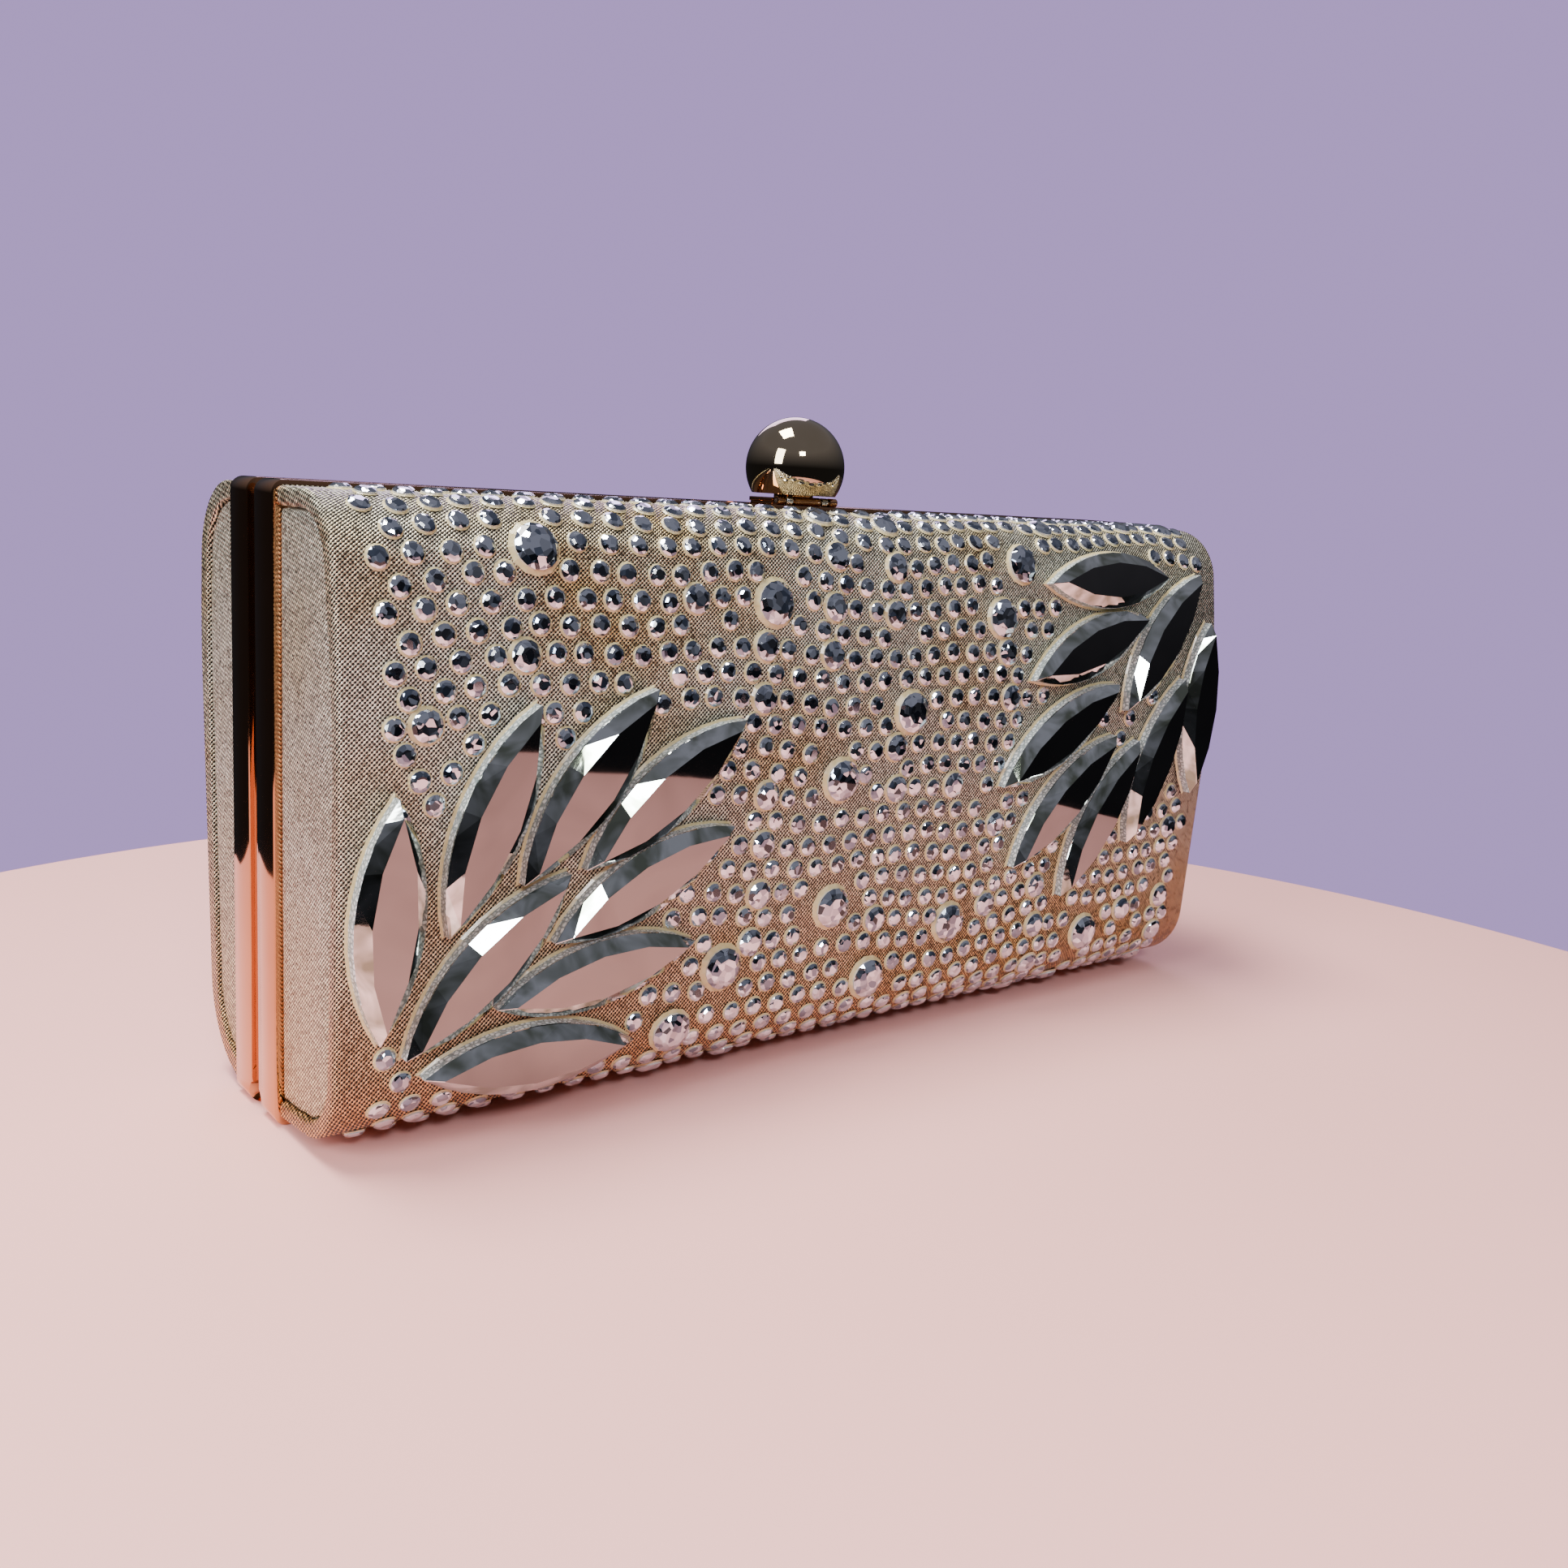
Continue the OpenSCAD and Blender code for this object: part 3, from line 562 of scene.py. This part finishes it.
round_crystal = foiled("round_crystal", (0.74, 0.79, 0.86), (0.16, 0.20, 0.27), 0.42, 800.0,
                       0.15, 0.60, 0.07)

rim_glass, tree, shader = new_finish("rim_glass", Metallic=0.35, Roughness=0.18,
                                     Coat_Weight=1.0, Coat_Roughness=0.03)
cloudy = node(tree, "TexNoise", in_0=object_place(tree), in_2=800.0, in_3=2.0)
tree.links.new(blend_colours(tree, cloudy.outputs[0], (0.45, 0.47, 0.50), (0.88, 0.88, 0.86)),
               shader.inputs["Base Color"])


def cut_glass(name, clear, deep, low, high, wave, rough, ripple):
    """A clear foil-backed facet: slow darker streaks paint the reflected cuts behind it."""
    material, tree, shader = new_finish(name, Metallic=1.0, Roughness=rough, Coat_Weight=1.0,
                                        Coat_Roughness=0.015, Coat_IOR=1.55)
    place = object_place(tree)
    painted_streak = node(tree, "TexNoise", in_0=place, in_2=wave, in_3=2.5, in_4=0.6)
    painted_streak.inputs["Distortion"].default_value = 0.6
    # Painted reflection: darker streaks stand for the cuts behind the facet mirroring the room.
    tree.links.new(blend_colours(tree, remap(tree, painted_streak.outputs[0], low, high), clear, deep),
                   shader.inputs["Base Color"])
    bump(tree, shader, painted_streak.outputs[0], 0.0004, ripple)
    return material


long_table = cut_glass("long_table", (0.24, 0.225, 0.21), (0.16, 0.15, 0.14), 0.35, 0.75, 60.0,
                       0.03, 0.03)
long_facet = cut_glass("long_facet", (0.78, 0.82, 0.79), (0.20, 0.23, 0.16), 0.38, 0.64, 150.0,
                       0.04, 0.10)

foil, tree, shader = new_finish("silver_foil", Metallic=0.25, Coat_Weight=0.8,
                                Coat_Roughness=0.08)
place = object_place(tree)
crackle = node(tree, "TexVoronoi", feature="DISTANCE_TO_EDGE", in_0=place, in_2=1300.0)
grain = node(tree, "TexNoise", in_0=place, in_2=1400.0, in_3=3.0)
tree.links.new(blend_colours(tree, remap(tree, crackle.outputs[0], 0.02, 0.30),
                             (0.24, 0.30, 0.31), (0.93, 0.99, 1.0)), shader.inputs["Base Color"])
tree.links.new(remap(tree, grain.outputs[0], 0.3, 0.7, 0.22, 0.5), shader.inputs["Roughness"])
bump(tree, shader, math_node(tree, "ADD", crackle.outputs[0], grain.outputs[0]), 0.00015, 0.9)

glue, tree, shader = new_finish("dried_glue", Roughness=0.28, Coat_Weight=0.5,
                                Coat_Roughness=0.1, Alpha=0.8)
clots = node(tree, "TexNoise", in_0=object_place(tree), in_2=900.0, in_3=3.0)
tree.links.new(blend_colours(tree, clots.outputs[0], (0.62, 0.47, 0.18), (0.86, 0.76, 0.46)),
               shader.inputs["Base Color"])
bump(tree, shader, clots.outputs[0], 0.0001, 0.7)
print("glass", round_crystal.name, long_table.name, long_facet.name, foil.name, glue.name)

# %% [markdown]
# ## Metalwork
# Stamped and polished metal has no knife edges: each edge is rounded a little and catches a thin
# line of light. A copy of each frame half gets a small bevel and stands for the CAD piece; the
# smaller parts get a finer one. Round parts keep the CAD shape and only take a finish.

# %% Frame halves and small metal parts
def stand_for(obj, cad_node, body, slot, *materials):
    """Gives a piece its finish and its body, and hides the CAD piece that it stands for."""
    for material in materials:
        obj.data.materials.append(material)
    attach(obj, body)
    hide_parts(cad_node)
    return obj


soft_edges = {
    "front_frame": (0.16, "front_half", "gold_metal", polished_gold),
    "back_frame": (0.16, "back_half", "gold_metal", polished_gold),
    "catch_plate": (0.08, "back_half", "gold_metal", polished_gold),
    "chain_lugs": (0.15, "back_half", "gold_metal", polished_gold),
    "clasp_bracket": (0.05, "front_half", "gold_metal", polished_gold),
    "clasp_lever": (0.10, "clasp", "gold_metal", polished_gold),
}
for cad_name, (width, body, slot, finish) in soft_edges.items():
    piece = softened(cad_name, cad_name + "_polished", width * MM)
    stand_for(piece, cad_name, body, slot, finish)
    print(piece.name, len(piece.data.polygons), "faces")


def finish_cad(names, material):
    """Puts a finish on CAD pieces that keep their own shape."""
    for name in names:
        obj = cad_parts[name]
        for s in obj.material_slots:
            s.material = material


finish_cad(["front_hinge_leaf", "back_hinge_leaf", "front_hinge_rivets", "back_hinge_rivets",
            "clasp_rivets"], soft_brass)
finish_cad(["hinge_pin", "clasp_pin", "clasp_spring"], bright_steel)
finish_cad(["ball_knob", "ball_stud"], ball_gold)
finish_cad(["front_shell", "back_shell"], board)

# %% [markdown]
# ## Cloth over the case
# The outer cloth wraps the board and turns over at each end in a rolled rim. The CAD cover is
# the right shell with square rims, so its copy gets a wide round bevel on those edges.

# %% Covers and linings
for cad_name, body in (("front_cover", "front_half"), ("back_cover", "back_half")):
    piece = softened(cad_name, cad_name + "_cloth", 0.80 * MM, segments=4, angle=50)
    stand_for(piece, cad_name, body, "metallic_fabric", case_cloth)
    print(piece.name, len(piece.data.polygons), "faces")

for cad_name, body in (("front_lining", "front_half"), ("back_lining", "back_half")):
    piece = softened(cad_name, cad_name + "_satin", 0.15 * MM, segments=2, angle=50)
    stand_for(piece, cad_name, body, "lining_satin", satin)
    print(piece.name, len(piece.data.polygons), "faces")

# %% [markdown]
# ## Padded end panels
# Each end wall carries a thin foam pad under cloth, glued down at its edge, so it swells a
# little in the middle and rolls off at the rim. A cloth simulation with a light inner pressure
# gives that crown: the side on the board is held still, and no point may move further than the
# room that the rim leaves.

# %% One padded panel
pad_lift = 0.38 * MM
pad_voxel = 0.62 * MM
glued_depth = 0.45 * MM                  # points this near the board stay put
pad_frames = 20


def padded_panel(cad_name, body):
    piece = copy_of(cad_name, cad_name + "_padded")
    inner_x = min(abs(corner.x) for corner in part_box(cad_name))
    apply_modifier(piece, "REMESH", mode="VOXEL", voxel_size=pad_voxel)
    apply_modifier(piece, "SMOOTH", factor=0.5, iterations=3)
    held = piece.vertex_groups.new(name="glued")
    held.add([v.index for v in piece.data.vertices if abs(v.co.x) < inner_x + glued_depth],
             1.0, "REPLACE")
    before = np.array([v.co for v in piece.data.vertices])
    only(piece)
    bpy.ops.object.modifier_add(type="CLOTH")
    cloth = piece.modifiers[-1]
    cloth.settings.use_pressure = True
    cloth.settings.uniform_pressure_force = 4
    cloth.settings.vertex_group_mass = "glued"
    cloth.settings.effector_weights.gravity = 0
    cloth.settings.quality = 4
    cloth.point_cache.frame_start, cloth.point_cache.frame_end = 1, pad_frames
    for f in range(1, pad_frames + 1):
        bpy.context.scene.frame_set(f)
    bpy.ops.object.modifier_apply(modifier=cloth.name)
    bpy.context.scene.frame_set(1)
    after = np.array([v.co for v in piece.data.vertices])
    moved = np.nan_to_num(after - before)
    reach = np.linalg.norm(moved, axis=1)
    moved *= np.minimum(1, pad_lift / np.maximum(reach, 1e-9))[:, None]
    piece.data.vertices.foreach_set("co", (before + moved).ravel())
    apply_modifier(piece, "SMOOTH", factor=0.5, iterations=4)
    apply_modifier(piece, "SUBSURF", levels=1, render_levels=1)
    only(piece)
    bpy.ops.object.shade_smooth()
    stand_for(piece, cad_name, body, "panel_fabric", panel_cloth)
    print(piece.name, len(piece.data.polygons), "faces, moved up to",
          round(float(reach.max()) / MM, 2), "mm")
    return piece


for half in ("front", "back"):
    for end in ("left", "right"):
        padded_panel(f"{half}_end_panel_{end}", half + "_half")

# %% [markdown]
# ## Finding the crystals' places
# The CAD model holds every crystal as a plain block in one of five groups. Each block's own
# vertices tell where it sits, which way it faces and, for the long ones, which way it points.

# %% Places of the crystals
def separate_blocks(cad_name):
    """The vertex positions of each separate solid in a CAD piece."""
    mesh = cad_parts[cad_name].data
    spots = np.empty(len(mesh.vertices) * 3)
    mesh.vertices.foreach_get("co", spots)
    spots = spots.reshape(-1, 3)
    _, first, same = np.unique(np.round(spots / (0.002 * MM)).astype(np.int64), axis=0,
                               return_index=True, return_inverse=True)
    same = same.ravel()
    leader = np.arange(len(first))
    corners = np.empty(len(mesh.loops), np.int64)
    mesh.loops.foreach_get("vertex_index", corners)
    tri = same[corners].reshape(-1, 3)

    def root(i):
        while leader[i] != i:
            leader[i] = leader[leader[i]]
            i = leader[i]
        return i

    for a, b, c in tri:
        ra, rb, rc = root(a), root(b), root(c)
        leader[rb] = ra
        leader[rc] = ra
    groups = {}
    for i, j in enumerate(first):
        groups.setdefault(root(i), []).append(spots[j])
    return [np.array(g) for g in groups.values()]


def place_of(block):
    """The middle of a block's flat back, its three axes, its radius and its height.

    The axes are the long way, the way across, and outwards.
    """
    centre = block.mean(0)
    _, _, axes = np.linalg.svd(block - centre, full_matrices=False)
    out = axes[2]
    height = (block - centre) @ out
    radius = np.linalg.norm((block - centre) - np.outer(height, out), axis=1)
    if np.mean(height[radius > 0.85 * radius.max()]) > 0:
        out = -out
        height = -height
    base = centre + out * height.min()
    long_way = axes[0]
    cross = np.cross(out, long_way)
    return base, long_way, cross, out, radius.max(), height.max() - height.min()


stone_places = {name: [place_of(b) for b in separate_blocks(name)]
                for name in ("small_crystals", "medium_crystals", "large_crystals",
                             "lower_navettes", "upper_navettes")}
for name, places in stone_places.items():
    print(name, len(places), "pieces, radius", round(places[0][4] / MM, 2), "mm")


def matrix_of(place, spin=0.0, scale=1.0):
    base, long_way, cross, out, _, _ = place
    turn = Matrix((long_way, cross, out)).transposed()
    return (Matrix.Translation(base) @ turn.to_4x4() @ Matrix.Rotation(spin, 4, "Z")
            @ Matrix.Scale(scale, 4))


def set_stones(cut, name, matrices):
    """Copies one cut stone to every place and joins the copies into one piece."""
    made = []
    for m in matrices:
        obj = cut.copy()
        obj.data = cut.data.copy()
        obj.data.transform(m)
        bpy.context.scene.collection.objects.link(obj)
        made.append(obj)
    piece = joined(made)
    piece.name = name
    piece.data.name = name
    piece.matrix_world = Matrix.Identity(4)
    return piece


# %% [markdown]
# ## Round crystals
# A flat-back crystal has a broad eight-sided table and two rings of facets down to a
# sixteen-sided girdle. It is cut once and copied: bridging a ring of sixteen corners to one of
# eight leaves alternate broad and narrow facets, and the wall goes down to the flat back.

# %% Cutting one round crystal
def ring(corners, radius, height, turn=0.0):
    bpy.ops.object.select_all(action="DESELECT")
    bpy.ops.mesh.primitive_circle_add(vertices=corners, radius=radius, location=(0, 0, height),
                                      rotation=(0, 0, turn))
    return settle(bpy.context.object)


def bridged(*rings):
    """Joins rings into one open wall of facets."""
    obj = joined(rings)
    bpy.ops.object.mode_set(mode="EDIT")
    bpy.ops.mesh.select_mode(type="EDGE")
    bpy.ops.mesh.select_all(action="SELECT")
    bpy.ops.mesh.bridge_edge_loops()
    object_mode()
    return obj


same_height = 1e-7


def close_ends(obj, *heights):
    """Fills the open rim at each height with one flat face."""
    for h in heights:
        edit_pick(obj, "EDGE", lambda e: all(
            abs(obj.data.vertices[v].co.z - h) < same_height for v in e.vertices))
        bpy.ops.mesh.edge_face_add()
        object_mode()
    face_outward(obj)
    return obj


# The stone is cut with a radius of 1 mm, and each place scales it to its own size.
girdle_r, girdle_z = 1.0 * MM, 0.24 * MM
break_r, break_z = 0.83 * MM, 0.40 * MM
table_r, table_z = 0.56 * MM, 0.53 * MM
foot_r = 0.97 * MM
half_step = math.radians(11.25)          # half the angle between two corners of the girdle
girdle = ring(16, girdle_r, girdle_z)
break_ring = ring(8, break_r, break_z, half_step)
upper = bridged(girdle, break_ring)
table_ring = ring(8, table_r, table_z, half_step)
lower_ring = ring(8, break_r, break_z, half_step)
crown = bridged(lower_ring, table_ring)
foot_ring = ring(16, foot_r, 0.0)
girdle_again = ring(16, girdle_r, girdle_z)
wall = bridged(foot_ring, girdle_again)
round_cut = joined((upper, crown, wall))
merge_points(round_cut, 0.001 * MM)
close_ends(round_cut, 0.0, table_z)
for finish in (round_crystal, rim_glass):
    round_cut.data.materials.append(finish)
for f in round_cut.data.polygons:
    f.material_index = 1 if f.center.z < girdle_z else 0
print("one round crystal:", len(round_cut.data.polygons), "facets")

# %% Setting the round crystals
random.seed(5)
for cad_name in ("small_crystals", "medium_crystals", "large_crystals"):
    spots = [matrix_of(p, random.uniform(0, math.pi), p[4] / MM)
             for p in stone_places[cad_name]]
    piece = set_stones(round_cut, cad_name + "_cut", spots)
    stand_for(piece, cad_name, "front_half", "crystal")
    print(piece.name, len(piece.data.polygons), "facets")
bpy.data.objects.remove(round_cut)

# %% [markdown]
# ## Long crystals
# A long crystal is a boat shape with points at both ends: a flat mirror table, broad slanting
# facets down to the girdle, and a straight side wrapped in crackled silver foil. Two arcs make
# each outline. The table has few corners and the girdle has many, so bridging them leaves large
# irregular facets like those of hand-cut glass.

# %% Cutting one long crystal
tip_gap = 0.2 * MM                       # ends of the arcs closer than this become one point


def pointed_ring(length, width, corners, height):
    """A boat-shaped outline made of two arcs, from a circle that is cut across and mirrored."""
    radius = (length ** 2 + width ** 2) / (4 * width)
    half_arc = math.asin(length / 2 / radius)
    count = round(2 * math.pi / (2 * half_arc / (corners + 1)))
    bpy.ops.object.select_all(action="DESELECT")
    bpy.ops.mesh.primitive_circle_add(vertices=count, radius=radius,
                                      location=(0, width / 2 - radius, height))
    arc = settle(bpy.context.object)
    edit_pick(arc, "VERT", lambda v: True)
    bpy.ops.mesh.bisect(plane_co=(0, 0, 0), plane_no=(0, 1, 0), clear_inner=True,
                        threshold=1e-7)
    object_mode()
    apply_modifier(arc, "MIRROR", use_axis=(False, True, False), merge_threshold=0.01 * MM)
    merge_points(arc, tip_gap)
    return arc


long_place = stone_places["lower_navettes"][0]
crystal_l = 2 * long_place[4]
low_block = separate_blocks("lower_navettes")[0]
crystal_w = float(np.ptp((low_block - low_block.mean(0)) @ long_place[2]))
crystal_h = long_place[5]
side_h = 0.55 * crystal_h
table_l, table_w = 0.86 * crystal_l, 0.62 * crystal_w
table_corners, girdle_corners = 3, 9
table_outline = pointed_ring(table_l, table_w, table_corners, crystal_h)
girdle_outline = pointed_ring(crystal_l, crystal_w, girdle_corners, side_h)
long_crown = bridged(girdle_outline, table_outline)
foot_outline = pointed_ring(crystal_l, crystal_w, girdle_corners, 0)
wall_top = pointed_ring(crystal_l, crystal_w, girdle_corners, side_h)
long_wall = bridged(foot_outline, wall_top)
long_cut = joined((long_crown, long_wall))
merge_points(long_cut, 0.01 * MM)
close_ends(long_cut, 0.0, crystal_h)
for finish in (long_table, long_facet, foil):
    long_cut.data.materials.append(finish)
for f in long_cut.data.polygons:
    if f.center.z < 0.9 * side_h:
        f.material_index = 2
    elif f.normal.z > 0.999:
        f.material_index = 0
    else:
        f.material_index = 1
apply_modifier(long_cut, "BEVEL", width=0.10 * MM, segments=1, limit_method="ANGLE",
               angle_limit=math.radians(45))
print("one long crystal:", round(crystal_l / MM, 1), "by", round(crystal_w / MM, 1), "by",
      round(crystal_h / MM, 1), "mm,", len(long_cut.data.polygons), "facets")

# %% Setting the long crystals
for cad_name in ("lower_navettes", "upper_navettes"):
    piece = set_stones(long_cut, cad_name + "_cut",
                       [matrix_of(p) for p in stone_places[cad_name]])
    stand_for(piece, cad_name, "front_half", "mirror_glass")
    print(piece.name, len(piece.data.polygons), "facets")

# %% [markdown]
# ## Glue
# Every crystal sits in a drop of clear yellowish glue, which shows as a thin pale gold ring. A
# low domed collar is turned once for the round crystals, and a boat-shaped collar for the long
# ones.

# %% Glue collars
def collar(outer, inner):
    """A low ring of glue between two outlines, with a sloping top."""
    obj = bridged(outer, inner)
    face_outward(obj)
    obj.data.materials.append(glue)
    return obj


round_collar = collar(ring(12, 1.20 * MM, 0.0), ring(12, 0.96 * MM, 0.16 * MM))
all_spots = []
for cad_name in ("small_crystals", "medium_crystals", "large_crystals"):
    for p in stone_places[cad_name]:
        all_spots.append(matrix_of(p, random.uniform(0, math.pi),
                                   p[4] / MM * random.uniform(0.94, 1.02)))
round_glue = set_stones(round_collar, "round_glue", all_spots)
bpy.data.objects.remove(round_collar)
long_collar = collar(
    pointed_ring(crystal_l + 1.2 * MM, crystal_w + 0.8 * MM, girdle_corners, 0.0),
    pointed_ring(crystal_l - 0.1 * MM, crystal_w - 0.1 * MM, girdle_corners, 0.35 * MM))
long_spots = [matrix_of(p) for name in ("lower_navettes", "upper_navettes")
              for p in stone_places[name]]
long_glue = set_stones(long_collar, "long_glue", long_spots)
bpy.data.objects.remove(long_collar)
bpy.data.objects.remove(long_cut)
for piece in (round_glue, long_glue):
    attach(piece, "front_half")
    print(piece.name, len(piece.data.polygons), "faces")

# %% [markdown]
# ## Finishing

# %% The last line
bpy.ops.object.select_all(action="DESELECT")
